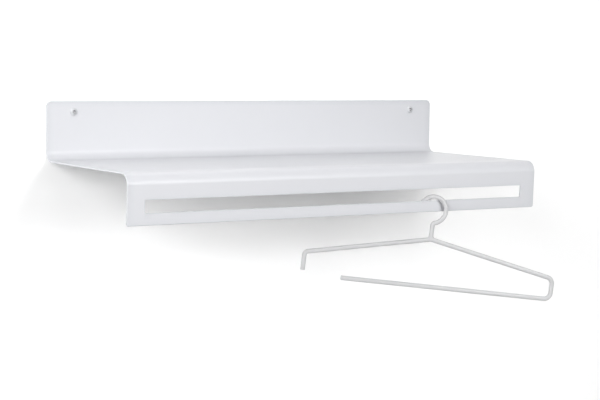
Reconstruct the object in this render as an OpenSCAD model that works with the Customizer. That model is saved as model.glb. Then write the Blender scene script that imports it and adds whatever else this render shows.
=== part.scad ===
// Wall shelf folded from one sheet, with a slot in its front for an open rod hanger.
// The shelf hangs on two dome-headed screws that go into the wall.
// Frame: the wall is the plane y = 0, the shelf reaches out along -y, x runs along the wall and z is up.
// The origin is on the wall, midway between the two screws.

/* [Shelf] */
// Width of the shelf along the wall
shelf_w = 700; // [500:10:1000]
// Distance from the wall to the outermost face of the front
shelf_depth = 282; // [220:1:360]
// Height of the back above the top of the deck
back_h = 88; // [72:1:140]
// Drop of the front below the top of the deck
front_h = 72; // [66:1:110]
// Thickness of the sheet
sheet_t = 2.5; // [1.5:0.1:3.5]
// Inside radius of both bends
bend_r = 14; // [8:0.5:18]
// Angle by which the front is folded past square
front_lean = 2.35; // [0, 2.05, 2.35, 2.76]
// Radius of the two upper corners of the back
corner_r = 8; // [3:0.5:12]
// Radius of the two lower corners of the front
toe_r = 3; // [1:0.5:6]

/* [Slot and rail] */
// Height of the slot in the front
slot_h = 18; // [16:1:24]
// Solid front left beside each end of the slot
slot_margin = 27; // [15:1:80]
// Height of the rail, the strip of front left under the slot
rail_h = 17; // [10:1:19]
// Radius of the slot's corners
slot_corner_r = 1; // [0.5:0.5:3]

/* [Wall fixing] */
// Distance of each screw hole from its end of the shelf
hole_inset = 43; // [30:1:80]
// Distance of each screw hole below the top edge
hole_drop = 16; // [12:1:24]
// Diameter of the screw holes in the sheet
hole_d = 5; // [4.8:0.1:6]
// Diameter of the screw's thread, which starts at the wall
screw_d = 4.5; // [3.6:0.1:4.8]
// Diameter of the screw's plain neck, where it passes through the sheet
neck_d = 3.6; // [2.5:0.1:4.4]
// Length of the screw under its head
screw_len = 50; // [40:1:60]
// Diameter of the screw's domed head
head_d = 12; // [10:0.5:14]
// Height of the screw's head
head_h = 3.4; // [3:0.1:4]
// Size of the hexagon socket across its flats
socket_af = 5; // [3:0.5:5]

/* [Hanger] */
// Diameter of the hanger's rod
rod_d = 7; // [4:0.5:7.5]
// Radius of the hook along the middle of the rod
hook_r = 20; // [18.5:0.5:24]
// How far round the hook goes, from its right side over the top to its tip
hook_sweep = 178; // [150:1:185]
// Distance of the neck from the line through the middle of the hook
neck_x = 2; // [0:0.5:4]
// Drop from the middle of the hook to the peak of the shoulders
peak_drop = 44.5; // [40:0.5:70]
// Reach of the left shoulder from the neck
left_reach = 189; // [150:1:230]
// Reach of the right shoulder from the neck
right_reach = 198; // [150:1:230]
// Slope of the shoulders
shoulder_slope = 11.5; // [5:0.5:20]
// Drop from the peak of the shoulders to the trouser bar
bar_drop = 72; // [60:1:100]
// Distance of the bar's free end to the left of the neck
bar_left = 130; // [60:1:140]
// Drop from the peak of the shoulders to the tip of the short left leg
leg_drop = 66; // [56:1:75]
// Radius of the bend from the neck into the hook
collar_r = 4; // [3.5:0.5:6]
// Radius of the bend at the peak of the shoulders
peak_r = 9; // [6:0.5:14]
// Radius of the bend into the left leg
leg_r = 6; // [5:0.5:9]
// Radius of the two bends that carry the right shoulder round into the bar
end_r = 10; // [6:0.5:12]
// Place of the hook along the rail, from the middle of the shelf
hanger_x = 157; // [-250:1:250]
// Angle by which the hanger hangs out of level, its right end down
hanger_tilt = 6.4; // [0:0.1:12]
// Free gap between the hook's rod and the rail's faces at the rail's top edge
hook_gap = 0.6; // [0.6:0.1:1]
// Height of the inside of the hook above the rail's top edge
hook_rise = 2.2; // [2:0.1:3]

/* [Hidden] */

// Curves are drawn with this many steps
$fn = 96;
// Cutters reach this far past the faces they cut
over = 1;
powder_white = "#f2f2f4";
steel_bright = "#c9cbd0";

// Heights and depths of the folded sheet
outer_r = bend_r + sheet_t;
top_z = hole_drop;
deck_z = top_z - back_h;
back_bend = [-outer_r, deck_z + bend_r];
front_bend = [-shelf_depth + outer_r, deck_z - outer_r];
front_len = (front_h - outer_r - sheet_t / 2 - (outer_r - sheet_t / 2) * sin(front_lean)) / cos(front_lean);
rail_bottom = -front_len - sheet_t / 2;
rail_top = rail_bottom + rail_h;
screw_x = shelf_w / 2 - hole_inset;

// Screw
head_rim = 0.8;
dome_h = head_h - head_rim;
dome_r = (pow(head_d / 2, 2) + pow(dome_h, 2)) / (2 * dome_h);
socket_depth = 2.2;
point_len = 5;
point_d = 0.6;

// Hook, placed so that its rod clears the rail on both sides
rod_r = rod_d / 2;
rail_mid_local = -outer_r + sheet_t / 2;
rail_y = front_bend[0] + rail_mid_local * cos(front_lean) - rail_top * sin(front_lean);
rail_z = front_bend[1] + rail_mid_local * sin(front_lean) + rail_top * cos(front_lean);
hook_below = hook_r - rod_r - hook_rise;
hook_z = rail_z - hook_below;
hook_chord = sqrt(pow(hook_r, 2) - pow(hook_below, 2));
hanger_turn = asin((sheet_t / 2 + rod_r + hook_gap) / hook_chord);

// Run of each length of the hook's rod
collar_run = 1;
tip_run = 1;
tip_round = 1;
collar_span = norm([hook_r + collar_r, collar_run]);
collar_x = neck_x + collar_r;
collar_below = sqrt(pow(collar_span, 2) - pow(collar_x, 2));
collar_sweep = atan2(collar_below, collar_x) - atan2(collar_run, hook_r + collar_r);
neck_run = peak_drop - collar_below;

// Run of each length of the frame's rod
bar_y = -peak_drop - bar_drop;
peak_cut = peak_r * tan(shoulder_slope);
corner_cut = tan((90 - shoulder_slope) / 2);
bar_run = bar_left + right_reach - end_r - tip_round;
end_run = bar_drop - right_reach * tan(shoulder_slope) - end_r - end_r * corner_cut;
right_run = right_reach / cos(shoulder_slope) - end_r * corner_cut - peak_cut;
left_run = left_reach / cos(shoulder_slope) - leg_r * corner_cut - peak_cut;
leg_run = leg_drop - left_reach * tan(shoulder_slope) - leg_r * corner_cut - tip_round;

// Joins in the rods
bend_lap = 0.2;
bend_thinning = 0.02;
weld_r = 4;
weld_w = 4;
weld_reach = rod_r + weld_r;

// Section of one bend round the origin: the upper left quarter of a ring, and on past it by some angle
module bend(past) {
    reach = 2 * outer_r;
    intersection() {
        difference() {
            circle(r = outer_r);
            circle(r = bend_r);
        }
        translate([-reach, -reach])
            square([reach, 2 * reach]);
        rotate(past)
            translate([-reach, 0])
                square([2 * reach, reach]);
    }
}

// Section of the folded sheet, with depth along x and height along y
module section() {
    translate([-sheet_t, back_bend[1]])
        square([sheet_t, top_z - sheet_t / 2 - back_bend[1]]);
    translate([-sheet_t / 2, top_z - sheet_t / 2])
        circle(d = sheet_t);
    translate(back_bend)
        rotate(180)
            bend(0);
    translate([front_bend[0], deck_z - sheet_t])
        square([back_bend[0] - front_bend[0], sheet_t]);
    translate(front_bend) {
        bend(front_lean);
        rotate(front_lean) {
            translate([-outer_r, -front_len])
                square([sheet_t, front_len]);
            translate([rail_mid_local, -front_len])
                circle(d = sheet_t);
        }
    }
}

// Frame of the front: origin on the bend's axis, z along the front
module on_front() {
    translate([0, front_bend[0], front_bend[1]])
        rotate([front_lean, 0, 0])
            children();
}

// Slab across the sheet with a rectangular outline and round corners
module rounded_slab(w, h, r, depth) {
    rotate([90, 0, 0])
        linear_extrude(height = depth, center = true)
            union() {
                square([w - 2 * r, h], center = true);
                square([w, h - 2 * r], center = true);
                for (x = [-1, 1], y = [-1, 1])
                    translate([x * (w / 2 - r), y * (h / 2 - r)])
                        circle(r = r);
            }
}

// Waste outside one rounded corner, with the corner at the origin and the sheet towards -x and -z
module corner_waste(r, depth) {
    difference() {
        translate([-r, -depth / 2, -r])
            cube([r + over, depth, r + over]);
        translate([-r, 0, -r])
            rotate([90, 0, 0])
                cylinder(r = r, h = depth + 2 * over, center = true);
    }
}

// The shelf: one sheet with two bends, a slot, two screw holes and rounded corners
module shelf_sheet() {
    cut_depth = 4 * sheet_t;
    slot_z = rail_top + slot_h / 2;
    color(powder_white)
        difference() {
            translate([-shelf_w / 2, 0, 0])
                rotate([90, 0, 90])
                    linear_extrude(height = shelf_w)
                        section();
            on_front()
                translate([0, rail_mid_local, slot_z])
                    rounded_slab(shelf_w - 2 * slot_margin, slot_h, slot_corner_r, cut_depth);
            for (side = [-1, 1]) {
                translate([side * screw_x, 0, 0])
                    rotate([90, 0, 0])
                        cylinder(d = hole_d, h = cut_depth, center = true);
                scale([side, 1, 1])
                    translate([shelf_w / 2, -sheet_t / 2, top_z])
                        corner_waste(corner_r, cut_depth);
                scale([side, 1, 1])
                    on_front()
                        translate([shelf_w / 2, rail_mid_local, rail_bottom])
                            mirror([0, 0, 1])
                                corner_waste(toe_r, cut_depth);
            }
        }
}

// Screw along +y with the underside of its head on the sheet's front face
module wall_screw(x) {
    color(steel_bright)
        translate([x, -sheet_t, 0])
            rotate([-90, 0, 0])
                difference() {
                    union() {
                        cylinder(d = neck_d, h = sheet_t);
                        translate([0, 0, sheet_t])
                            cylinder(d = screw_d, h = screw_len - point_len - sheet_t);
                        translate([0, 0, screw_len - point_len])
                            cylinder(d1 = screw_d, d2 = point_d, h = point_len);
                        translate([0, 0, -head_rim])
                            cylinder(d = head_d, h = head_rim);
                        intersection() {
                            translate([0, 0, dome_r - head_h])
                                sphere(r = dome_r);
                            translate([0, 0, -head_h])
                                cylinder(d = head_d, h = dome_h);
                        }
                    }
                    translate([0, 0, -head_h - over])
                        cylinder(d = socket_af / cos(30), h = socket_depth + over, $fn = 6);
                }
}

// Frame of the hanger: origin in the middle of the hook, x to its right end and y up, in the hanger's plane
module in_hanger() {
    translate([hanger_x, rail_y, hook_z])
        rotate([0, 0, -hanger_turn])
            rotate([0, hanger_tilt, 0])
                rotate([90, 0, 0])
                    children();
}

// Straight run of rod along x, with what follows at its end
module straight(len) {
    rotate([0, 90, 0])
        cylinder(r = rod_r, h = len);
    translate([len, 0, 0])
        children();
}

// Bend of rod to the left, or to the right if the angle is negative, with what follows at its end
// A bent rod is drawn out a little, so it is a hair thinner here and runs on inside the straights
module turn(r, angle) {
    lap = bend_lap / r * 180 / PI;
    sweep = abs(angle);
    mirror([0, angle < 0 ? 1 : 0, 0])
        translate([0, r, 0]) {
            rotate([0, 0, -90 - lap])
                rotate_extrude(angle = sweep + 2 * lap)
                    translate([r, 0])
                        circle(r = rod_r - bend_thinning);
            rotate([0, 0, sweep])
                translate([0, -r, 0])
                    mirror([0, angle < 0 ? 1 : 0, 0])
                        children();
        }
}

// Cut end of the rod, pointing along x, with a softened edge
module tip() {
    rotate([0, 90, 0])
        rotate_extrude() {
            square([rod_r - tip_round, tip_round]);
            intersection() {
                translate([rod_r - tip_round, 0])
                    circle(r = tip_round);
                square([rod_r, tip_round]);
            }
        }
}

// Rod of the hanger's frame, from the free end of the trouser bar round to the tip of the left leg
module frame_rod() {
    square_less_slope = 90 - shoulder_slope;
    translate([neck_x - bar_left + tip_round, bar_y, 0]) {
        rotate([0, 0, 180])
            tip();
        straight(bar_run)
            turn(end_r, 90)
                straight(end_run)
                    turn(end_r, square_less_slope)
                        straight(right_run)
                            turn(peak_r, 2 * shoulder_slope)
                                straight(left_run)
                                    turn(leg_r, square_less_slope)
                                        straight(leg_run)
                                            tip();
    }
}

// Rod of the hook, from the foot of the neck up to the tip of the hook
module hook_rod() {
    translate([neck_x, -peak_drop, 0])
        rotate([0, 0, 90])
            straight(neck_run)
                turn(collar_r, -collar_sweep)
                    straight(collar_run)
                        turn(hook_r, hook_sweep + collar_sweep)
                            straight(tip_run)
                                tip();
}

// Weld metal in the corners between the foot of the neck and the shoulders
module weld() {
    translate([neck_x, -peak_drop, 0])
        intersection() {
            rotate([-90, 0, 0])
                rotate_extrude()
                    difference() {
                        square([weld_reach, weld_reach]);
                        translate([weld_reach, weld_reach])
                            circle(r = weld_r);
                    }
            cube([3 * weld_reach, 3 * weld_reach, weld_w], center = true);
        }
}

// The hanger's hook: neck, collar bend and hook in one rod, its foot welded onto the frame
module hanger_hook() {
    color(powder_white)
        in_hanger()
            difference() {
                union() {
                    hook_rod();
                    weld();
                }
                frame_rod();
            }
}

// The hanger's frame in one rod: left leg, both shoulders, the rounded right end and the trouser bar
module hanger_frame() {
    color(powder_white)
        in_hanger()
            frame_rod();
}

module wall_screw_left() wall_screw(-screw_x);
module wall_screw_right() wall_screw(screw_x);

shelf_sheet();
wall_screw_left();
wall_screw_right();
hanger_hook();
hanger_frame();
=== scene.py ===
# %% [markdown]
# # A folded wall shelf with a rod hanger
# The shelf is one sheet of steel with two bends: a back that lies on the wall, a deck, and a front that
# hangs down and carries a long slot. A hanger of bent rod hooks through the slot. Sheet and rod are
# powder-coated white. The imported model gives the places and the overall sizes, so the first step is to load
# it as a fixed frame.

import bpy
import numpy as np
from mathutils import Matrix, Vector
from mathutils.geometry import delaunay_2d_cdt


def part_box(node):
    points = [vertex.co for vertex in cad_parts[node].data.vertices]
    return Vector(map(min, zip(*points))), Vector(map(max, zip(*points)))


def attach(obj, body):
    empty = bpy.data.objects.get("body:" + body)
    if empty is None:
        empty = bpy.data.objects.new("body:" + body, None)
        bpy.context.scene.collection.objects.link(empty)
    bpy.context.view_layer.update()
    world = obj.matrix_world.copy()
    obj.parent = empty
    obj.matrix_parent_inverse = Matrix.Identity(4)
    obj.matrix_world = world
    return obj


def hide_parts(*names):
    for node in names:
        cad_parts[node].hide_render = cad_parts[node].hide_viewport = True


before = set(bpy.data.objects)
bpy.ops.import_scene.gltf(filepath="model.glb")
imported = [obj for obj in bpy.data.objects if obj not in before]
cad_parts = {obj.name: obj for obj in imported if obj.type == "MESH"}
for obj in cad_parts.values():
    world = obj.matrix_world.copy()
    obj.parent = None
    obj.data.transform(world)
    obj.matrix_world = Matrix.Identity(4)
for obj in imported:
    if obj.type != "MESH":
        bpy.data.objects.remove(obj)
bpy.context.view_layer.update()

print("nodes:", sorted(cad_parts))

# %% [markdown]
# ## Sizes
# A bent part is described by what the folder sets on the machine: the thickness, the inside radius and the
# angle of each bend, and the lengths between them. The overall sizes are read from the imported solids; the
# bend radius, the slot and the rod are design values that a box can't show. All lengths here are in
# millimetres.

# %% Sizes of the sheet
sheet_low, sheet_high = (1000 * np.array(corner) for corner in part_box("shelf_sheet"))
thick = 2.5
bend_inside = 14.0
front_lean = np.radians(2.35)
back_height = 88.0
slot_height = 18.0
slot_margin = 27.0
rail_height = 17.0

half_width = float(sheet_high[0])
top_z = float(sheet_high[2])
bottom_z = float(sheet_low[2])
depth = -float(sheet_low[1])
deck_z = top_z - back_height
bend_outside = bend_inside + thick
bend_middle = bend_inside + thick / 2
print("sheet:", 2 * half_width, "wide,", depth, "deep, deck at", deck_z)

# %% [markdown]
# ## The flat pattern and how it folds
# Sheet metal keeps its length along the middle of its thickness, so any point of the shelf has three simple
# numbers: x across the width, v down the unrolled sheet from the top edge, and h off the middle towards the
# room. Folding is then one formula. Its tangent turns through an angle `lie`: 0 on the back (pointing
# down), a right angle on the deck (pointing away from the wall), and a little less than 0 on the front.

# %% Fold the flat pattern
front_bend_z = deck_z - bend_outside
back_bend_z = deck_z + bend_inside
front_bend_y = -depth + bend_outside
front_drop = front_bend_z - bottom_z - thick / 2 - bend_middle * np.sin(front_lean)
front_length = front_drop / np.cos(front_lean)
runs = np.array([
    top_z - back_bend_z,
    bend_middle * np.pi / 2,
    -bend_outside - front_bend_y,
    bend_middle * (np.pi / 2 + front_lean),
    front_length + thick / 2,
])
stations = np.concatenate([[0], np.cumsum(runs)])


def lie_at(v):
    """Angle of the sheet at v: level stretches joined by even turns, first up to 90 degrees, then back
    past 0."""
    return np.interp(v, stations[1:5], [0, np.pi / 2, np.pi / 2, -front_lean])


def facing(lie):
    """Unit vectors (down the sheet, off it towards the room) for an angle: the second is the first turned
    by 90."""
    flat = np.zeros_like(lie)
    down = np.stack([flat, -np.sin(lie), -np.cos(lie)], -1)
    off = np.stack([flat, -np.cos(lie), np.sin(lie)], -1)
    return down, off


def fold(x, v, h):
    """Place of a point of the flat pattern. In a bend it lies on a circle round the bend's axis; on a
    level stretch it lies on a straight line from where the last bend ended. h then moves it off the
    middle of the sheet."""
    lie = lie_at(v)
    down, off = facing(lie)
    back = np.stack([x, np.full_like(v, -thick / 2), top_z - v], -1)
    deck = np.stack([x, -bend_outside - (v - stations[2]), np.full_like(v, deck_z - thick / 2)], -1)
    back_axis = np.stack([x, np.full_like(v, -bend_outside), np.full_like(v, back_bend_z)], -1)
    front_axis = np.stack([x, np.full_like(v, front_bend_y), np.full_like(v, front_bend_z)], -1)
    front = front_axis + bend_middle * off + (v - stations[4])[..., None] * down
    part = np.searchsorted(stations[1:5], v)[..., None]
    middle = np.select(
        [part == 0, part == 1, part == 2, part == 3],
        [back, back_axis - bend_middle * off, deck, front_axis + bend_middle * off],
        front,
    )
    return middle + np.asarray(h)[..., None] * off


print("unrolled length:", round(float(stations[-1]), 1))

# %% [markdown]
# ## Outlines with rounded corners
# The sheet's outline, its slot and its screw holes are all closed curves on the flat pattern. Each is a
# list of points with the direction that points away from the metal, because the next step carries a small
# round edge along it. Laser-cut sheet is deburred and the powder runs a little thin over its edges, so no
# edge is sharp.

# %% Closed curves on the flat pattern
def rounded_outline(x0, x1, v0, v1, radii, x_steps, v_steps, corner_steps=10):
    """Points and outward directions of a rectangle with round corners. Going round, the direction turns
    by a full circle: it stays put along each side and turns by 90 degrees in each corner. radii is (at
    v0, at v1)."""
    near, far = radii
    corners = [(x1 - far, v1 - far, far), (x0 + far, v1 - far, far),
               (x0 + near, v0 + near, near), (x1 - near, v0 + near, near)]
    points, away = [], []
    for k, (cx, cv, r) in enumerate(corners):
        turn = np.radians(90 * k) + np.linspace(0, np.pi / 2, corner_steps + 1)
        ways = np.stack([np.cos(turn), np.sin(turn)], -1)
        points.append([cx, cv] + r * ways)
        away.append(ways)
        start = points[-1][-1]
        along, steps = (0, x_steps) if k % 2 == 0 else (1, v_steps)
        end_r = corners[(k + 1) % 4][2]
        last = [x0 + end_r, v0 + end_r, x1 - end_r, v1 - end_r][k]
        between = steps[(steps > min(start[along], last) + 0.2) & (steps < max(start[along], last) - 0.2)]
        between = between if last > start[along] else between[::-1]
        side = np.tile(start, (len(between), 1))
        side[:, along] = between
        points.append(side)
        away.append(np.tile(ways[-1], (len(between), 1)))
    return np.concatenate(points), np.concatenate(away)


def circle_outline(x, v, r, steps=40):
    """A circle: centre plus r times the direction, for directions all round."""
    turn = np.linspace(0, 2 * np.pi, steps, endpoint=False)
    ways = np.stack([np.cos(turn), np.sin(turn)], -1)
    return [x, v] + r * ways, ways


corner_r = 8.0
toe_r = 3.0
slot_corner_r = 1.0
hole_r = 2.5
columns = 57
rows_per_run = (9, 25, 19, 27, 9)

x_grid = np.linspace(-half_width, half_width, columns)[1:-1]
run_rows = [np.linspace(start, end, rows) for start, end, rows in zip(stations, stations[1:], rows_per_run)]
v_grid = np.unique(np.round(np.concatenate(run_rows), 6))[1:-1]
rail_top_v = stations[5] - rail_height
screw_x = 1000 * (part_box("wall_screw_right")[0].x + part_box("wall_screw_right")[1].x) / 2
slot_edge = half_width - slot_margin
slot_top_v = rail_top_v - slot_height
outlines = {
    "rim": (*rounded_outline(-half_width, half_width, 0, stations[5], (corner_r, toe_r), x_grid, v_grid), 1),
    "slot": (*rounded_outline(-slot_edge, slot_edge, slot_top_v, rail_top_v, (slot_corner_r, slot_corner_r),
                              x_grid, v_grid, corner_steps=6), -1),
    "left hole": (*circle_outline(-screw_x, top_z, hole_r), -1),
    "right hole": (*circle_outline(screw_x, top_z, hole_r), -1),
}
print("points on the outlines:", {name: len(o[0]) for name, o in outlines.items()})

# %% [markdown]
# ## The edge of the sheet
# Across the cut edge the surface goes from the room side, round a small quarter, straight across, and round
# a second quarter to the wall side. Carried along an outline this makes a ribbon. The top of the back and
# the foot of the front are dressed to a full round; the ends, the slot and the holes only lose their
# corner.

# %% Round edges along the outlines
quarter_steps = 6
full_round = thick / 2


def edge_section(radius):
    """Offsets (out, h) and directions of the edge for one radius or an array of them. Each quarter is a
    circle whose centre is one radius inside both faces: (r cos a - r, half thickness - r + r sin a) for a
    from 90 to 0."""
    a = np.linspace(np.pi / 2, 0, quarter_steps + 1)
    radius = np.asarray(radius, float)[..., None]
    out = radius * np.cos(a) - radius
    high = thick / 2 - radius + radius * np.sin(a)
    outs = np.concatenate([out, out[..., ::-1]], -1)
    highs = np.concatenate([high, -high[..., ::-1]], -1)
    face_out = np.concatenate([np.cos(a), np.cos(a)[::-1]])
    face_high = np.concatenate([np.sin(a), -np.sin(a)[::-1]])
    return outs, highs, face_out, face_high


def ribbon(points, away, sign, radius):
    """Surface and normals of the edge along an outline: place = fold(point + out * away, h), and the
    normal is the section's direction laid into the folded sheet's own axes."""
    ways = sign * away
    outs, highs, face_out, face_high = edge_section(radius)
    x = points[:, None, 0] + outs * ways[:, None, 0]
    v = points[:, None, 1] + outs * ways[:, None, 1]
    down, off = facing(lie_at(v))
    across = np.array([1.0, 0, 0])
    sideways = ways[:, None, 0, None] * across + ways[:, None, 1, None] * down
    normals = face_out[:, None] * sideways + face_high[:, None] * off
    return fold(x, v, highs), normals, np.stack([x[:, 0], v[:, 0]], -1)


edge_rounding = {"rim": 0.8, "slot": 0.6, "left hole": 0.3, "right hole": 0.3}


def edge_radius(name, away):
    """Full round where the rim faces straight up or down the sheet, easing to a small round at the ends."""
    small = edge_rounding[name]
    if name != "rim":
        return np.full(len(away), small)
    return small + (full_round - small) * away[:, 1] ** 2


ribbons = {
    name: ribbon(points, away, sign, edge_radius(name, away))
    for name, (points, away, sign) in outlines.items()
}
print("ribbon sizes:", {name: r[0].shape[:2] for name, r in ribbons.items()})

# %% [markdown]
# ## The two faces of the sheet
# Between the ribbons the two faces are filled with triangles on the flat pattern, where it is easy: the
# outlines are fixed edges, a grid of points fills the rest, and rows lie close together in the bends so
# that they come out round. The same triangles serve both faces, one at +h and one at -h. Normals come from
# the formula and not from the triangles, so the long level faces stay perfectly even.

# %% Fill the faces
def in_box(points, x0, x1, v0, v1, radius):
    """How deep points lie inside a box with round corners. Take what sticks out past the box shrunk by
    the radius: the depth is the radius less the length of the positive part, less the larger of the
    negative parts."""
    centre = np.array([x0 + x1, v0 + v1]) / 2
    half = np.array([x1 - x0, v1 - v0]) / 2
    past = np.abs(points - centre) - half + np.asarray(radius)[..., None]
    return radius - np.hypot(*np.maximum(past, 0).T) - np.minimum(past.max(-1), 0)


def into_metal(points, name):
    """Distance of points from an outline, positive in the metal: inside the rim, outside the slot and the
    holes."""
    x, v = points.T
    if name == "rim":
        corner = np.where(v < stations[2], corner_r, toe_r)
        return in_box(points, -half_width, half_width, 0, stations[5], corner)
    if name == "slot":
        return -in_box(points, -slot_edge, slot_edge, slot_top_v, rail_top_v, slot_corner_r)
    centre = -screw_x if name == "left hole" else screw_x
    return np.hypot(x - centre, v - top_z) - hole_r


grid = np.stack(np.meshgrid(x_grid, v_grid), -1).reshape(-1, 2)
face_gap = 2.0
for name in outlines:
    grid = grid[into_metal(grid, name) > face_gap]

rings = [ribbons[name][2] for name in outlines]
ring_starts = np.cumsum([0] + [len(r) for r in rings])
flat_points = np.concatenate([*rings, grid])
fixed_edges = np.concatenate([
    np.stack([np.arange(len(r)), np.roll(np.arange(len(r)), -1)], -1) + start
    for r, start in zip(rings, ring_starts)
])
filled = delaunay_2d_cdt(flat_points.tolist(), fixed_edges.tolist(), [], 0, 1e-7)
source = np.array([came_from[0] for came_from in filled[3]])
flat_triangles = source[np.array(filled[2])]
for name in list(outlines)[1:]:
    centres = flat_points[flat_triangles].mean(1)
    flat_triangles = flat_triangles[into_metal(centres, name) > edge_rounding[name]]
print("face triangles:", len(flat_triangles), "points kept:", len(source) == len(flat_points))


# %% Put the sheet together
def loop_quads(count, width):
    """Quads of a closed ribbon of count by width points: corners (i, j), (i+1, j), (i+1, j+1), (i, j+1)."""
    i, j = np.meshgrid(np.arange(count), np.arange(width - 1), indexing="ij")
    after = (i + 1) % count
    corner = [i * width + j, after * width + j, after * width + j + 1, i * width + j + 1]
    return np.stack(corner, -1).reshape(-1, 4)


def facing_out(faces, points, normals):
    """The faces, turned round if their corners run the wrong way for the normals: the sign of the mean of
    the cross product of two sides with the normal."""
    a, b, c = points[faces[:, 0]], points[faces[:, 1]], points[faces[:, 2]]
    sign = (np.cross(b - a, c - a) * normals[faces].mean(1)).sum()
    return faces if sign > 0 else faces[:, ::-1]


def enclosed(points, faces):
    """Volume inside a closed surface: a sixth of the sum of the triple products of each face's
    triangles."""
    total = 0.0
    for group in faces:
        for k in range(1, group.shape[1] - 1):
            a, b, c = (points[group[:, i]] for i in (0, k, k + 1))
            total += np.einsum("ij,ij->", a, np.cross(b, c)) / 6
    return total


def add_piece(name, points_mm, faces, normals=None, marks=None):
    """A mesh object from arrays: places in millimetres become metres, marks become attributes of the
    points."""
    mesh = bpy.data.meshes.new(name)
    mesh.from_pydata((points_mm / 1000).tolist(), [], [f for group in faces for f in group.tolist()])
    mesh.shade_smooth()
    for mark, values in (marks or {}).items():
        mesh.attributes.new(mark, "FLOAT", "POINT").data.foreach_set("value", values.astype(np.float32))
    if normals is not None:
        mesh.normals_split_custom_set_from_vertices(normals.tolist())
    piece = bpy.data.objects.new(name, mesh)
    bpy.context.scene.collection.objects.link(piece)
    print(name, "faces:", len(mesh.polygons), "volume in cm3:", round(enclosed(points_mm, faces) / 1000, 2))
    return piece


points, normals, faces, edge_mark = [], [], [], []
front_index, wall_index, used = [], [], 0
for name in outlines:
    places, ways, ring = ribbons[name]
    count, width = places.shape[:2]
    start = used
    used += count * width
    points.append(places.reshape(-1, 3))
    normals.append(ways.reshape(-1, 3))
    edge_mark.append(np.ones(count * width))
    faces.append(facing_out(loop_quads(count, width), points[-1], normals[-1]) + start)
    front_index.append(start + np.arange(count) * width)
    wall_index.append(start + np.arange(count) * width + width - 1)

down, off = facing(lie_at(grid[:, 1]))
for side, index in ((1, front_index), (-1, wall_index)):
    points.append(fold(grid[:, 0], grid[:, 1], np.full(len(grid), side * thick / 2)))
    normals.append(side * off)
    edge_mark.append(np.zeros(len(grid)))
    index.append(used + np.arange(len(grid)))
    used += len(grid)
points = np.concatenate(points)
normals = np.concatenate(normals)
for index in (front_index, wall_index):
    faces.append(facing_out(np.concatenate(index)[flat_triangles], points, normals))
sheet = add_piece("folded_sheet", points, faces, normals, {"cut_edge": np.concatenate(edge_mark)})
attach(sheet, "shelf")
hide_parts("shelf_sheet")

# %% [markdown]
# ## Bent rod
# A wire bender feeds straight lengths and turns them round pins, so a rod's middle line is a chain of
# straights and arcs, all in one plane. The surface is a circle carried along that line. Its two ends are
# faced square and then tumbled, which leaves a small round. The hanger's plane is turned out of the wall's,
# because the hook's rod crosses the rail at an angle, and tilted, because its open left side is the lighter
# one.

# %% A chain of straights and arcs
rod_d = 7.0
inside_box = 0.03
rod_r = rod_d / 2 - inside_box
end_round = 1.0
end_ring_share = 0.6
round_steps = 40


def chain(start, heading, moves, straight_step=6.0, turn_step=np.radians(3.0)):
    """Points and headings along a path in a plane. A straight goes (length,) ahead; a turn (radius,
    angle) goes round the point one radius to the left, or to the right if the angle is negative."""
    place, places, headings = np.array(start, float), [], []
    for move in moves:
        if len(move) == 1:
            steps = max(1, int(np.ceil(move[0] / straight_step)))
            t = np.linspace(0, move[0], steps + 1)
            ways = np.full(steps + 1, heading)
            line = place + t[:, None] * np.array([np.cos(heading), np.sin(heading)])
        else:
            radius, angle = move
            side = np.sign(angle)
            steps = max(2, int(np.ceil(abs(angle) / turn_step)))
            ways = heading + np.linspace(0, angle, steps + 1)
            axis = place + side * radius * np.array([-np.sin(heading), np.cos(heading)])
            line = axis + side * radius * np.stack([np.sin(ways), -np.cos(ways)], -1)
        skip = 1 if places else 0
        places.append(line[skip:])
        headings.append(ways[skip:])
        place, heading = line[-1], ways[-1]
    return np.concatenate(places), np.concatenate(headings)


# %% Sweep a rod along a chain
def rod_ends(places, headings, wide, deep):
    """Adds the rings of both rounded ends: out by e sin a, in by e (1 - cos a), then a ring close to the
    middle."""
    a = np.linspace(0, np.pi / 2, 6)[1:]
    out = np.append(end_round * np.sin(a), end_round)
    less = np.append(end_round * (1 - np.cos(a)), rod_r * end_ring_share)
    ahead = np.stack([np.cos(headings), np.sin(headings)], -1)
    first = places[0] - out[::-1, None] * ahead[0]
    last = places[-1] + out[:, None] * ahead[-1]
    return (
        np.concatenate([first, places, last]),
        np.concatenate([np.full(len(out), headings[0]), headings, np.full(len(out), headings[-1])]),
        np.concatenate([wide[0] - less[::-1], wide, wide[-1] - less]),
        np.concatenate([deep[0] - less[::-1], deep, deep[-1] - less]),
    )


def tube_faces(points, count, sides):
    """Quads between neighbouring rings, and a fan of triangles at each end from its middle point: the two
    middle points come last. All are turned round if the volume they enclose comes out negative."""
    i, j = np.meshgrid(np.arange(count - 1) * sides, np.arange(sides), indexing="ij")
    after = (j + 1) % sides
    quads = np.stack([i + j, i + after, i + sides + after, i + sides + j], -1).reshape(-1, 4)
    j, after = j[0], after[0]
    last_ring = (count - 1) * sides
    first = np.stack([np.full(sides, len(points) - 2), after, j], -1)
    last = np.stack([np.full(sides, len(points) - 1), last_ring + j, last_ring + after], -1)
    faces = [quads, np.concatenate([first, last])]
    return faces if enclosed(points, faces) > 0 else [group[:, ::-1] for group in faces]


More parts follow.
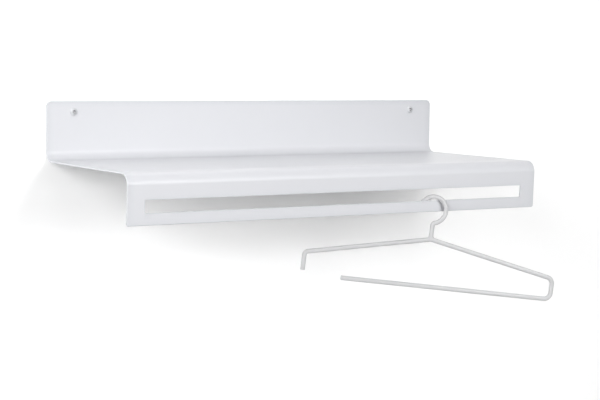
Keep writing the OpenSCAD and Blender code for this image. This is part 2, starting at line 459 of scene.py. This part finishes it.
def swept_rod(places, headings, wide, deep):
    """Rings of an ellipse along the path: place + wide cos t * (left of the heading) + deep sin t * (out
    of the plane). Each end closes on one middle point. Returns points in the plane's frame and (quads,
    triangles)."""
    t = np.linspace(0, 2 * np.pi, round_steps, endpoint=False)
    left = np.stack([-np.sin(headings), np.cos(headings)], -1)
    flat = places[:, None] + (wide[:, None] * np.cos(t))[..., None] * left[:, None]
    rings = np.concatenate([flat, (deep[:, None] * np.sin(t))[..., None]], -1)
    ends = np.array([[*places[0], 0.0], [*places[-1], 0.0]])
    points = np.concatenate([rings.reshape(-1, 3), ends])
    return points, tube_faces(points, len(rings), round_steps)


# %% Place the hanger's plane
hook_r = 20.0
hook_rise = 2.2
hook_gap = 0.6
hanger_tilt = np.radians(6.4)
hanger_x = 157.0

rail_top = -front_length - thick / 2 + rail_height
rail_middle = -bend_outside + thick / 2
rail_y = front_bend_y + rail_middle * np.cos(front_lean) - rail_top * np.sin(front_lean)
rail_z = front_bend_z + rail_middle * np.sin(front_lean) + rail_top * np.cos(front_lean)
hook_below = hook_r - rod_d / 2 - hook_rise
hook_chord = np.sqrt(hook_r**2 - hook_below**2)
hanger_turn = np.arcsin((thick / 2 + rod_d / 2 + hook_gap) / hook_chord)
in_hanger = (
    Matrix.Translation((hanger_x, rail_y, rail_z - hook_below))
    @ Matrix.Rotation(-hanger_turn, 4, "Z")
    @ Matrix.Rotation(hanger_tilt, 4, "Y")
    @ Matrix.Rotation(np.pi / 2, 4, "X")
)
hanger_axes = np.array(in_hanger)


def hang(points):
    """Points of the hanger's plane, x to its long end and y up, carried to the rail: a turn, then a
    shift."""
    return points @ hanger_axes[:3, :3].T + hanger_axes[:3, 3]


print("hanger turned", round(float(np.degrees(hanger_turn)), 2), "degrees out of the wall's plane")

# %% [markdown]
# ## The hanger's frame
# One rod makes the trouser bar, the rounded right end, both shoulders and the short left leg. The bar's
# free end and the leg leave a gap, so trousers slide on from the side. The chain starts at the bar's free
# end.

# %% The frame's rod
neck_x = 2.0
peak_drop = 44.5
left_reach = 189.0
right_reach = 198.0
slope = np.radians(11.5)
bar_drop = 72.0
bar_left = 130.0
leg_drop = 66.0
peak_r = 9.0
leg_r = 6.0
end_r = 10.0

corner_cut = np.tan((np.pi / 2 - slope) / 2)
peak_cut = peak_r * np.tan(slope)
bar_start = (neck_x - bar_left + end_round, -peak_drop - bar_drop)
frame_moves = [
    (bar_left + right_reach - end_r - end_round,),
    (end_r, np.pi / 2),
    (bar_drop - right_reach * np.tan(slope) - end_r - end_r * corner_cut,),
    (end_r, np.pi / 2 - slope),
    (right_reach / np.cos(slope) - end_r * corner_cut - peak_cut,),
    (peak_r, 2 * slope),
    (left_reach / np.cos(slope) - leg_r * corner_cut - peak_cut,),
    (leg_r, np.pi / 2 - slope),
    (leg_drop - left_reach * np.tan(slope) - leg_r * corner_cut - end_round,),
]
places, headings = chain(bar_start, 0.0, frame_moves)
even = np.full(len(places), rod_r)
rod_points, rod_faces = swept_rod(*rod_ends(places, headings, even, even))
frame_rod = add_piece("hanger_frame_rod", hang(rod_points), rod_faces)
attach(frame_rod, "hanger")
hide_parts("hanger_frame")

# %% [markdown]
# ## The hook
# A second rod is the neck and the hook. Its foot is welded onto the middle of the shoulders, and the weld
# is ground to a hollow on both sides before coating. Here the rod's own ring widens towards its foot along
# a quarter circle, so the neck flows into the shoulders as the ground weld does.

# %% The hook's rod, with its welded foot
collar_r = 4.0
collar_run = 1.0
tip_run = 1.0
hook_sweep = np.radians(178)
weld_r = 4.0
foot_height = 0.8
foot_half_width = 5.0
seat_height = 0.05
seat_share = 0.98
fine_step = 0.4

collar_span = np.hypot(hook_r + collar_r, collar_run)
collar_x = neck_x + collar_r
collar_below = np.sqrt(collar_span**2 - collar_x**2)
collar_sweep = np.arctan2(collar_below, collar_x) - np.arctan2(collar_run, hook_r + collar_r)
hook_moves = [
    (peak_drop - collar_below,),
    (collar_r, -collar_sweep),
    (collar_run,),
    (hook_r, hook_sweep + collar_sweep),
    (tip_run,),
]
places, headings = chain((neck_x, -peak_drop), np.pi / 2, hook_moves, straight_step=fine_step)


def weld_width(height):
    """Half width of the neck at a height over its foot: the rod's, plus a hollow quarter circle where it
    meets the shoulders, r + w - sqrt(w^2 - (w - height)^2)."""
    foot = rod_r / np.cos(slope) - (rod_r + weld_r) * np.tan(slope)
    rest = np.clip(weld_r - (height - foot), 0, weld_r)
    return rod_r + weld_r - np.sqrt(weld_r**2 - rest**2)


height = places[:, 1] + peak_drop
is_neck = (height < peak_drop - collar_below) & (np.abs(headings - np.pi / 2) < 1e-9)
wide = np.where(is_neck, weld_width(height), rod_r)
# The foot is inside the shoulders, so it is kept narrow enough to stay hidden there
wide = np.where(is_neck & (height < foot_height), np.minimum(wide, foot_half_width), wide)
# The lowest ring is a hair thinner than the shoulders, so that the two surfaces don't coincide
deep = np.where(height < seat_height, rod_r * seat_share, rod_r)
rod_points, rod_faces = swept_rod(*rod_ends(places, headings, wide, deep))
hook_rod = add_piece("hanger_hook_rod", hang(rod_points), rod_faces)
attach(hook_rod, "hanger")
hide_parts("hanger_hook")

# %% [markdown]
# ## The screws
# A dome-headed screw with a hexagon socket holds each end of the back. On a lathe the head is one profile
# turned round; the socket is then pressed in. The surface here is a stack of rings: each ring is a radius
# for every direction and a height, and the rings change from a hexagon in the socket to a circle on the
# dome. The thread is cut by making the radius rise and fall with the height and the direction together,
# which is a helix.

# %% Screw surface from rings
screw_sides = 72
head_d = 12.0
head_h = 3.4
head_rim = 0.8
socket_af = 5.0
socket_deep = 2.2
neck_r = 1.8
thread_r = 2.25
thread_pitch = 1.8
thread_deep = 0.55
thread_run_in = 2.0
screw_len = 50.0
point_len = 5.0
point_share = 0.12
neck_round = 0.25
rim_round = 0.35
rim_steps = 8
lip_bevel = 0.12
lip_width = 0.22
drilled_floor = ((0.3, -0.5), (0.75, -0.2), (0.94, 0.0), (1.0, 0.12))
dome_blends = (0.0, 0.12, 0.3, 0.5, 0.7, 0.85, 0.94)
socket_rings = len(drilled_floor) + 1
head_rings = socket_rings + 1 + len(dome_blends) + rim_steps + 1


def hexagon(directions, across):
    """Radius of a hexagon with slightly rounded corners: half its width over the cosine of the angle to
    the nearest flat's middle, held to a little under the true corner, which is at 1.155 times half the
    width."""
    to_flat = (directions + np.pi / 6) % (np.pi / 3) - np.pi / 6
    return across / 2 * np.minimum(1 / np.cos(to_flat), 1.12)


def dome_height(r):
    """Height of the dome over the head's underside at radius r, on one ball."""
    rise = head_h - head_rim
    ball = ((head_d / 2) ** 2 + rise**2) / (2 * rise)
    return head_h - ball + np.sqrt(ball**2 - np.asarray(r) ** 2)


def screw_rings(turn):
    """Radii (rings by directions) and heights (the same) from the middle of the socket to the screw's
    point. Heights are measured from the head's underside, up through the head and down along the
    shank."""
    t = np.linspace(0, 2 * np.pi, screw_sides, endpoint=False)
    hexed = hexagon(t + turn, socket_af)
    floor = head_h - socket_deep
    radii, heights = [], []

    def ring(radius, height):
        radii.append(np.broadcast_to(radius, t.shape))
        heights.append(np.broadcast_to(height, t.shape))

    for share, rise in drilled_floor:
        ring(hexed * share, floor + rise)
    ring(hexed, floor + 0.9 * socket_deep - 0.2)
    ring(hexed + lip_bevel / 2, dome_height(hexed) - lip_bevel)
    for blend in dome_blends:
        radius = (hexed + lip_width) * (1 - blend) + (head_d / 2 - lip_bevel) * blend
        ring(radius, dome_height(radius) - (0.02 if blend == 0.0 else 0.0))
    for a in np.linspace(np.pi / 3, -np.pi / 2, rim_steps):
        ring(head_d / 2 - rim_round * (1 - np.cos(a)), head_rim / 2 * (1 + np.sin(a)) - 0.05)
    ring(head_d / 2 - 0.5, 0.0)
    ring(neck_r + neck_round, 0.0)
    ring(neck_r, -neck_round)
    ring(neck_r, -thick)
    z = np.arange(thick + 0.02, screw_len - 0.3, thread_pitch / 10)
    wave = np.abs(2 * ((z[:, None] / thread_pitch - t / (2 * np.pi)) % 1) - 1)
    taper = np.clip((screw_len - z) / point_len, 0, 1)[:, None]
    start = np.clip((z - thick) / thread_run_in, 0, 1)[:, None]
    crest = np.clip(1.15 - 2.4 * wave, 0, 1) ** 0.8
    threaded = thread_r - thread_deep + thread_deep * crest * start
    pointed = threaded * (point_share + (1 - point_share) * taper)
    for radius, height in zip(pointed, -z):
        ring(radius, height)
    return np.array(radii), np.array(heights), t


def screw_piece(name, node, turn):
    """The rings set on the screw's own axis, with +y into the wall, and closed at both ends."""
    low, high = (1000 * np.array(corner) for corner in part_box(node))
    centre_x = (low[0] + high[0]) / 2
    centre_z = (low[2] + high[2]) / 2
    radii, heights, t = screw_rings(turn)
    rings = np.stack([centre_x + radii * np.cos(t), -thick - heights, centre_z + radii * np.sin(t)], -1)
    count = len(rings)
    first = [centre_x, -thick - (head_h - socket_deep - 0.7), centre_z]
    last = [centre_x, -thick + screw_len, centre_z]
    points = np.concatenate([rings.reshape(-1, 3), [first, last]])
    # 1 where the metal is bare: along the shank, and in the socket, where its dark colour is painted shade
    bare_and_socket_shade = np.ones((count, screw_sides))
    bare_and_socket_shade[socket_rings:head_rings] = 0
    marks = {"bare_metal_socket_shade": np.append(bare_and_socket_shade.ravel(), [1, 1])}
    piece = add_piece(name, points, tube_faces(points, count, screw_sides), marks=marks)
    piece.data.set_sharp_from_angle(angle=np.radians(40))
    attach(piece, "shelf")
    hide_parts(node)
    return piece


left_screw = screw_piece("socket_screw_left", "wall_screw_left", np.radians(12))
right_screw = screw_piece("socket_screw_right", "wall_screw_right", np.radians(41))

# %% [markdown]
# ## Shader groups for powder coat
# Powder coat is a plastic skin melted onto the metal. Up close it has a fine orange peel about a millimetre
# and a half across, a slow drift in gloss where the film is thicker, and it runs thin along cut edges,
# where the colour cools a little. Two groups hold these effects, because the shelf's coat and the hanger's
# coat both use them with their own values.

# %% Helper for shader groups
def shader_group(name, inputs, outputs):
    """An empty node group with named sockets: inputs as (name, kind, value), outputs as (name, kind)."""
    group = bpy.data.node_groups.new(name, "ShaderNodeTree")
    for socket, kind, value in inputs:
        made = group.interface.new_socket(name=socket, in_out="INPUT", socket_type=kind)
        made.default_value = value
    for socket, kind in outputs:
        group.interface.new_socket(name=socket, in_out="OUTPUT", socket_type=kind)
    return group, group.nodes.new("NodeGroupInput"), group.nodes.new("NodeGroupOutput")


def math_node(tree, operation, *values, clamp=False):
    """A math node: numbers are set on it and sockets are linked to it."""
    node = tree.nodes.new("ShaderNodeMath")
    node.operation = operation
    node.use_clamp = clamp
    for socket, value in zip(node.inputs, values):
        if isinstance(value, (int, float)):
            socket.default_value = value
        else:
            tree.links.new(value, socket)
    return node.outputs[0]


def noise_node(tree, coordinates, scale, detail, roughness=0.5):
    """Noise on object coordinates; the scale is the number of bumps in a metre."""
    node = tree.nodes.new("ShaderNodeTexNoise")
    node.inputs["Detail"].default_value = detail
    node.inputs["Roughness"].default_value = roughness
    tree.links.new(coordinates, node.inputs["Vector"])
    if isinstance(scale, (int, float)):
        node.inputs["Scale"].default_value = scale
    else:
        tree.links.new(scale, node.inputs["Scale"])
    return node.outputs["Fac"]


def object_coordinates(tree):
    return tree.nodes.new("ShaderNodeTexCoord").outputs["Object"]


# %% Group: orange peel
swells_per_metre = 95.0
nibs_per_metre = 45.0
nib_sharpness = 26.0
swell_share = 0.8
peel_group, peel_in, peel_out = shader_group(
    "orange_peel",
    [("Bumps per metre", "NodeSocketFloat", 620.0), ("Nib share", "NodeSocketFloat", 0.5)],
    [("Height", "NodeSocketFloat"), ("Gloss drift", "NodeSocketFloat")],
)
where = object_coordinates(peel_group)
peel = noise_node(peel_group, where, peel_in.outputs["Bumps per metre"], 2.0)
swell = noise_node(peel_group, where, swells_per_metre, 1.0)
nibs = peel_group.nodes.new("ShaderNodeTexVoronoi")
nibs.inputs["Scale"].default_value = nibs_per_metre
peel_group.links.new(where, nibs.inputs["Vector"])
away = math_node(peel_group, "MULTIPLY", nibs.outputs["Distance"], nib_sharpness)
nib = math_node(peel_group, "SUBTRACT", 1.0, away, clamp=True)
nib = math_node(peel_group, "MULTIPLY", nib, peel_in.outputs["Nib share"])
height = math_node(peel_group, "ADD", peel, math_node(peel_group, "MULTIPLY", swell, swell_share))
peel_group.links.new(math_node(peel_group, "ADD", height, nib), peel_out.inputs["Height"])
peel_group.links.new(swell, peel_out.inputs["Gloss drift"])

# %% Group: film thickness
clouds_per_metre = 9.0
specks_per_metre = 260.0
cloud_floor = 0.42
least_at_edge = 0.1
film_group, film_in, film_out = shader_group(
    "film_thickness",
    [("Full coat", "NodeSocketColor", (0.8, 0.8, 0.8, 1)),
     ("Thin coat", "NodeSocketColor", (0.7, 0.72, 0.75, 1)),
     ("At edge", "NodeSocketFloat", 0.0), ("Drift", "NodeSocketFloat", 0.5)],
    [("Color", "NodeSocketColor"), ("Thinness", "NodeSocketFloat")],
)
where = object_coordinates(film_group)
cloud = noise_node(film_group, where, clouds_per_metre, 3.0)
speck = noise_node(film_group, where, specks_per_metre, 3.0)
thin_cloud = math_node(film_group, "SUBTRACT", cloud, cloud_floor, clamp=True)
drift = math_node(film_group, "MULTIPLY", thin_cloud, film_in.outputs["Drift"])
broken = math_node(film_group, "MULTIPLY", speck, 1 - least_at_edge)
broken = math_node(film_group, "ADD", broken, least_at_edge)
edge = math_node(film_group, "MULTIPLY", film_in.outputs["At edge"], broken)
thin = math_node(film_group, "ADD", drift, edge, clamp=True)
mix = film_group.nodes.new("ShaderNodeMix")
mix.data_type = "RGBA"
film_group.links.new(thin, mix.inputs["Factor"])
film_group.links.new(film_in.outputs["Full coat"], mix.inputs[6])
film_group.links.new(film_in.outputs["Thin coat"], mix.inputs[7])
film_group.links.new(mix.outputs[2], film_out.inputs["Color"])
film_group.links.new(thin, film_out.inputs["Thinness"])
print("groups:", [g.name for g in bpy.data.node_groups])

# %% [markdown]
# ## The two coats
# The shelf's coat is a cool white satin. The hanger's is a neutral white, a touch darker and less even,
# because thin round rod takes the powder unevenly. Each material feeds its colour, roughness and bump from
# the groups, and sets what is even all over on the shader's own sockets. The tones are lower than a real
# white, because the lights are strong enough to wash out the white wall, and the shelf has to stand out
# from it.

# %% Coat material
gloss_swing = 0.06
rougher_where_thin = 0.08


def coat(name, full, thin, gloss, peel_per_metre, peel_depth, drift_amount, edge_mark=None):
    """Principled plastic: colour and thinness from the film group, roughness from the peel's drift, bump
    from its height, with the edge mark read from the piece's own attribute where it has one."""
    material = bpy.data.materials.new(name)
    material.use_nodes = True
    tree = material.node_tree
    shader = tree.nodes["Principled BSDF"]
    film = tree.nodes.new("ShaderNodeGroup")
    film.node_tree = film_group
    film.inputs["Full coat"].default_value = (*full, 1)
    film.inputs["Thin coat"].default_value = (*thin, 1)
    film.inputs["Drift"].default_value = drift_amount
    if edge_mark:
        mark = tree.nodes.new("ShaderNodeAttribute")
        mark.attribute_name = edge_mark
        tree.links.new(mark.outputs["Fac"], film.inputs["At edge"])
    skin = tree.nodes.new("ShaderNodeGroup")
    skin.node_tree = peel_group
    skin.inputs["Bumps per metre"].default_value = peel_per_metre
    drift = math_node(tree, "MULTIPLY", skin.outputs["Gloss drift"], gloss_swing)
    dull = math_node(tree, "MULTIPLY", film.outputs["Thinness"], rougher_where_thin)
    rough = math_node(tree, "ADD", math_node(tree, "ADD", gloss - gloss_swing / 2, drift), dull)
    bump = tree.nodes.new("ShaderNodeBump")
    bump.inputs["Strength"].default_value = 1.0
    bump.inputs["Distance"].default_value = peel_depth
    tree.links.new(skin.outputs["Height"], bump.inputs["Height"])
    tree.links.new(film.outputs["Color"], shader.inputs["Base Color"])
    tree.links.new(rough, shader.inputs["Roughness"])
    tree.links.new(bump.outputs["Normal"], shader.inputs["Normal"])
    shader.inputs["IOR"].default_value = 1.5
    shader.inputs["Specular IOR Level"].default_value = 0.35
    return material


shelf_coat = coat(
    "shelf_powder_coat", full=(0.516, 0.521, 0.543), thin=(0.46, 0.47, 0.494), gloss=0.33,
    peel_per_metre=620.0, peel_depth=0.000014, drift_amount=0.25, edge_mark="cut_edge",
)
hanger_coat = coat(
    "hanger_powder_coat", full=(0.455, 0.455, 0.463), thin=(0.405, 0.405, 0.415), gloss=0.36,
    peel_per_metre=760.0, peel_depth=0.000012, drift_amount=0.5,
)
sheet.data.materials.append(shelf_coat)
frame_rod.data.materials.append(hanger_coat)
hook_rod.data.materials.append(hanger_coat)

# %% [markdown]
# ## The screws' finish, with painted shade in the socket
# The heads are lacquered white to match the shelf, after plating. The lacquer doesn't reach into the socket
# or along the shank, so the plated steel shows there. Its colour is set much darker than plating, which
# paints the shade inside the socket. A mark on the points says where the metal is bare and the socket is
# shaded, and noise breaks its border. The tool's fine rings show through the lacquer, centred on each screw
# by a Mapping node.

# %% Lacquered head on zinc-plated steel
tool_rings = 1100.0
spots_per_metre = 900.0
border = 0.35
border_wander = 0.5
smoothest = 0.42
roughness_spread = 0.14


def lacquered_steel(name, centre_x):
    """White lacquer where the mark is 0 and plated metal where it is 1. The metal's dark colour paints the
    shade inside the socket. The mark plus noise, sharpened, mixes the colour, the metalness and the
    roughness. Rings are a wave of the distance from the screw's axis."""
    material = bpy.data.materials.new(name)
    material.use_nodes = True
    tree = material.node_tree
    shader = tree.nodes["Principled BSDF"]
    where = object_coordinates(tree)
    centred = tree.nodes.new("ShaderNodeMapping")
    centred.inputs["Location"].default_value = (-centre_x / 1000, 0, 0)
    tree.links.new(where, centred.inputs["Vector"])
    rings = tree.nodes.new("ShaderNodeTexWave")
    rings.wave_type = "RINGS"
    rings.rings_direction = "Y"
    rings.inputs["Scale"].default_value = tool_rings
    rings.inputs["Distortion"].default_value = 1.5
    rings.inputs["Detail"].default_value = 2.0
    tree.links.new(centred.outputs["Vector"], rings.inputs["Vector"])
    cloud = noise_node(tree, where, spots_per_metre, 4.0)
    mark = tree.nodes.new("ShaderNodeAttribute")
    mark.attribute_name = "bare_metal_socket_shade"
    wander = math_node(tree, "MULTIPLY", math_node(tree, "SUBTRACT", cloud, 0.5), border_wander)
    sharp = math_node(tree, "MULTIPLY", math_node(tree, "SUBTRACT", mark.outputs["Fac"], border), 3.0)
    bare_and_socket_shade = math_node(tree, "ADD", sharp, wander, clamp=True)
    # Plated steel set much darker than plating: painted shade in the socket
    socket_shade_metal = tree.nodes.new("ShaderNodeValToRGB")
    socket_shade_metal.color_ramp.elements[0].color = (0.26, 0.265, 0.275, 1)
    socket_shade_metal.color_ramp.elements[1].color = (0.40, 0.40, 0.405, 1)
    tree.links.new(cloud, socket_shade_metal.inputs["Fac"])
    film = tree.nodes.new("ShaderNodeGroup")
    film.node_tree = film_group
    film.inputs["Full coat"].default_value = (0.49, 0.495, 0.513, 1)
    film.inputs["Thin coat"].default_value = (0.43, 0.44, 0.455, 1)
    film.inputs["Drift"].default_value = 0.4
    tint = tree.nodes.new("ShaderNodeMix")
    tint.data_type = "RGBA"
    tree.links.new(bare_and_socket_shade, tint.inputs["Factor"])
    tree.links.new(film.outputs["Color"], tint.inputs[6])
    tree.links.new(socket_shade_metal.outputs["Color"], tint.inputs[7])
    rough = math_node(tree, "ADD", smoothest, math_node(tree, "MULTIPLY", cloud, roughness_spread))
    bump = tree.nodes.new("ShaderNodeBump")
    bump.inputs["Strength"].default_value = 0.6
    bump.inputs["Distance"].default_value = 0.00001
    tree.links.new(rings.outputs["Fac"], bump.inputs["Height"])
    tree.links.new(tint.outputs[2], shader.inputs["Base Color"])
    tree.links.new(bare_and_socket_shade, shader.inputs["Metallic"])
    tree.links.new(rough, shader.inputs["Roughness"])
    tree.links.new(bump.outputs["Normal"], shader.inputs["Normal"])
    return material


left_screw.data.materials.append(lacquered_steel("lacquered_steel_left", -screw_x))
right_screw.data.materials.append(lacquered_steel("lacquered_steel_right", screw_x))
print("materials:", sorted(m.name for m in bpy.data.materials))

# %% [markdown]
# ## The studio
# The shelf hangs on a plain white wall, well above a plain pale floor. Both are thin sheets that can be
# seen only from their front, so the shelf's back can be looked at too. The light comes from large soft
# boxes a little above the shelf. The strongest stands at the left front, and weaker ones stand at the front
# and at the right, so the shadow on the wall is soft and stays close under the deck. The world shows paler
# than the light it gives.

# %% Wall and floor
def plain_sheet(name, corners, colour, glow):
    """A large flat stage piece, seen and lit only from the side its normal points to. The glow is seen
    but lights nothing, so a far floor stays pale without brightening the underside of the shelf."""
    mesh = bpy.data.meshes.new(name)
    mesh.from_pydata(corners, [], [(0, 1, 2, 3)])
    piece = bpy.data.objects.new(name, mesh)
    bpy.context.scene.collection.objects.link(piece)
    material = bpy.data.materials.new(name)
    material.use_nodes = True
    tree = material.node_tree
    shader = tree.nodes["Principled BSDF"]
    shader.inputs["Roughness"].default_value = 0.9
    shader.inputs["Specular IOR Level"].default_value = 0.1
    grain = noise_node(tree, object_coordinates(tree), 40.0, 3.0)
    tint = tree.nodes.new("ShaderNodeMix")
    tint.data_type = "RGBA"
    tint.inputs[6].default_value = (*[0.99 * c for c in colour], 1)
    tint.inputs[7].default_value = (*colour, 1)
    tree.links.new(grain, tint.inputs["Factor"])
    tree.links.new(tint.outputs[2], shader.inputs["Base Color"])
    clear = tree.nodes.new("ShaderNodeBsdfTransparent")
    side = tree.nodes.new("ShaderNodeNewGeometry")
    ray = tree.nodes.new("ShaderNodeLightPath")
    see_through = math_node(tree, "MAXIMUM", side.outputs["Backfacing"], ray.outputs["Is Shadow Ray"])
    pale = tree.nodes.new("ShaderNodeEmission")
    tree.links.new(tint.outputs[2], pale.inputs["Color"])
    seen = tree.nodes.new("ShaderNodeMixShader")
    tree.links.new(math_node(tree, "MULTIPLY", ray.outputs["Is Camera Ray"], glow), seen.inputs["Fac"])
    tree.links.new(shader.outputs["BSDF"], seen.inputs[1])
    tree.links.new(pale.outputs["Emission"], seen.inputs[2])
    choose = tree.nodes.new("ShaderNodeMixShader")
    tree.links.new(see_through, choose.inputs["Fac"])
    tree.links.new(seen.outputs["Shader"], choose.inputs[1])
    tree.links.new(clear.outputs["BSDF"], choose.inputs[2])
    tree.links.new(choose.outputs["Shader"], tree.nodes["Material Output"].inputs["Surface"])
    mesh.materials.append(material)


wall_y = 0.0004
wall_half = 2.0
wall_top = 1.8
floor_z = -1.7
reach = 6.0
wall_corners = [(-wall_half, wall_y, floor_z), (wall_half, wall_y, floor_z),
                (wall_half, wall_y, wall_top), (-wall_half, wall_y, wall_top)]
floor_corners = [(-reach, -reach, floor_z), (reach, -reach, floor_z),
                 (reach, reach, floor_z), (-reach, reach, floor_z)]
plain_sheet("plain_wall", wall_corners, colour=(0.95, 0.95, 0.95), glow=0.0)
plain_sheet("plain_floor", floor_corners, colour=(0.62, 0.62, 0.61), glow=0.9)

# %% Lights
middle = np.array([0.0, -0.14, -0.1])


def standing(place, side, up, back):
    """Matrix of a lamp or camera at a place: its columns are its own right, up and back, then where it
    stands."""
    stand = np.eye(4)
    stand[:3] = np.stack([side, up, back, place], -1)
    return Matrix(stand.tolist())


def soft_box(name, azimuth, elevation, distance, size, watts):
    """A square light on a ball round the shelf. Azimuth 0 is straight out from the wall and 90 is to the
    right."""
    a, e = np.radians([azimuth, elevation])
    way = np.array([np.sin(a) * np.cos(e), -np.cos(a) * np.cos(e), np.sin(e)])
    lamp = bpy.data.lights.new(name, "AREA")
    lamp.shape = "SQUARE"
    lamp.size = size
    lamp.energy = watts
    box = bpy.data.objects.new(name, lamp)
    bpy.context.scene.collection.objects.link(box)
    side = np.cross([0, 0, 1.0], way)
    side /= np.linalg.norm(side)
    box.matrix_world = standing(middle + distance * way, side, np.cross(way, side), way)


light_plan = {
    "left_front": (-50, 12, 2.6, 1.3, 44),
    "right_front": (25, 12, 2.6, 1.3, 26),
    "front": (0, 12, 2.6, 1.3, 14),
    "front_small": (8, 18, 2.6, 0.6, 17),
    "left_low": (-75, 12, 2.6, 1.3, 15),
    "left_end": (-90, 60, 2.6, 1.3, 24),
    "left_high": (-50, 62, 2.6, 1.3, 3),
    "behind_wall": (180, -25, 2.4, 1.6, 14),
}
for name, plan in light_plan.items():
    soft_box(name, *plan)
print("lights in watts:", {name: plan[-1] for name, plan in light_plan.items()})

# %% World
given_strength = 0.04
shown_strength = 0.72
world = bpy.data.worlds.new("pale_room")
bpy.context.scene.world = world
world.use_nodes = True
backdrop = world.node_tree.nodes["Background"]
backdrop.inputs["Color"].default_value = (0.96, 0.97, 1.0, 1)
seen_directly = world.node_tree.nodes.new("ShaderNodeLightPath").outputs["Is Camera Ray"]
extra = math_node(world.node_tree, "MULTIPLY", seen_directly, shown_strength)
strength = math_node(world.node_tree, "ADD", given_strength, extra)
world.node_tree.links.new(strength, backdrop.inputs["Strength"])

# %% [markdown]
# ## The camera
# The camera stands to the left of the shelf and a little above the deck, and looks to the right and
# slightly down. The lens is long, so the two ends of the shelf differ little in size.

# %% Camera
camera_place = np.array([-1.2368, -2.1666, 0.1515 + deck_z / 1000])
yaw, pitch, roll = np.radians([31.54, 5.09, 0.705])
ahead = np.array([np.sin(yaw) * np.cos(pitch), np.cos(yaw) * np.cos(pitch), -np.sin(pitch)])
right = np.array([np.cos(yaw), -np.sin(yaw), 0.0])
above = np.cross(right, ahead)
view_right = right * np.cos(roll) + above * np.sin(roll)
view_up = above * np.cos(roll) - right * np.sin(roll)
lens = bpy.data.cameras.new("camera")
lens.sensor_width = 36.0
lens.lens = 93.6
lens.clip_start = 0.05
camera = bpy.data.objects.new("camera", lens)
camera.matrix_world = standing(camera_place, view_right, view_up, -ahead)
bpy.context.scene.collection.objects.link(camera)
bpy.context.scene.camera = camera
bpy.context.scene.view_settings.view_transform = "Standard"
bpy.context.scene.view_settings.look = "None"
print("camera at", camera_place.round(3).tolist())
